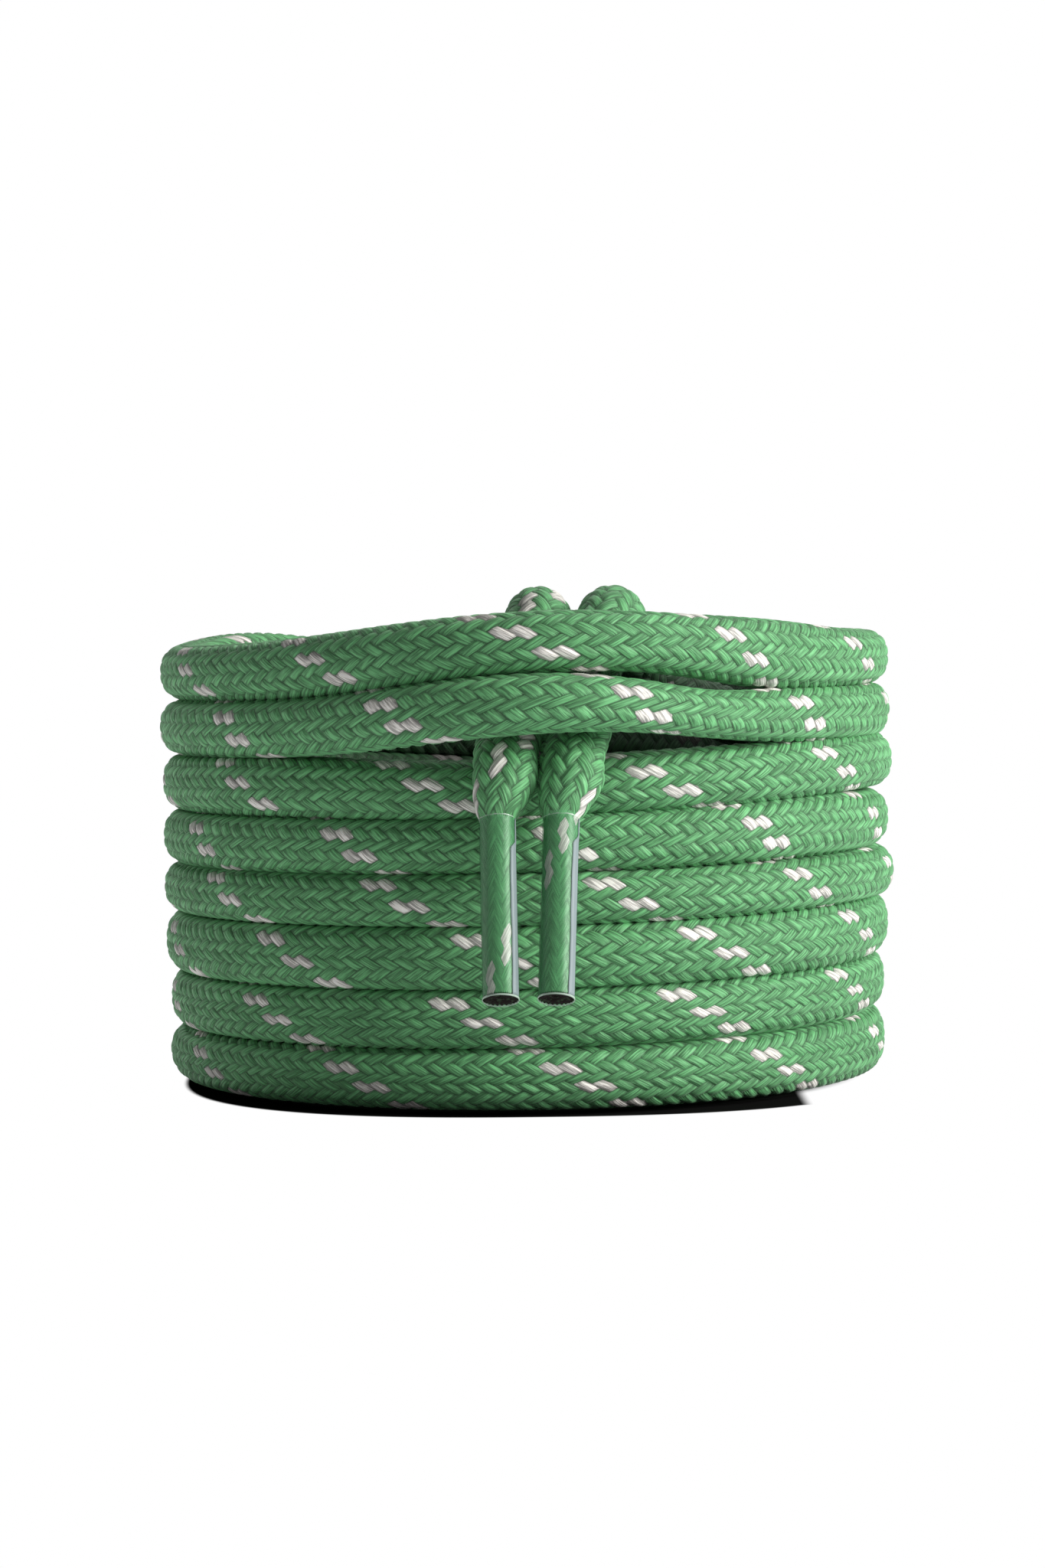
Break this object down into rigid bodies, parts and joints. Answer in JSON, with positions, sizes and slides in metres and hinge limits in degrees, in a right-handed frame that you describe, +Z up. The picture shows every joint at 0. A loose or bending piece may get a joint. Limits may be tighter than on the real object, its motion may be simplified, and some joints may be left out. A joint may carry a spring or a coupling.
{
  "type": "round braided boot lace",
  "caption": "Round braided lace with clear tips, wound into a stacked coil; both ends are tucked over and under the upper turns and hang down in front",
  "frame": {"origin": "under the middle of the part's bounding box, on the surface that the coil stands on", "axes": "+Z is up along the coil's axis, -Y is the front where the two tips hang, +X is to the right seen from the front"},
  "size_m": [0.0682, 0.0802, 0.045],
  "materials": {
    "braid": "matte braided yarn, green with paired white flecks",
    "packed_braid": "braid pressed smooth under clear film",
    "filler_yarn": "matte, dark cut end",
    "clear_film": "clear, glossy, with one overlap seam"
  },
  "bodies": {
    "root": {"lower_turns": "braid", "upper_turns": "braid", "left_end": "braid", "right_end": "braid", "left_tip_braid": "packed_braid", "right_tip_braid": "packed_braid", "left_tip_core": "filler_yarn", "right_tip_core": "filler_yarn", "left_aglet": "clear_film", "right_aglet": "clear_film"}
  },
  "joints": []
}
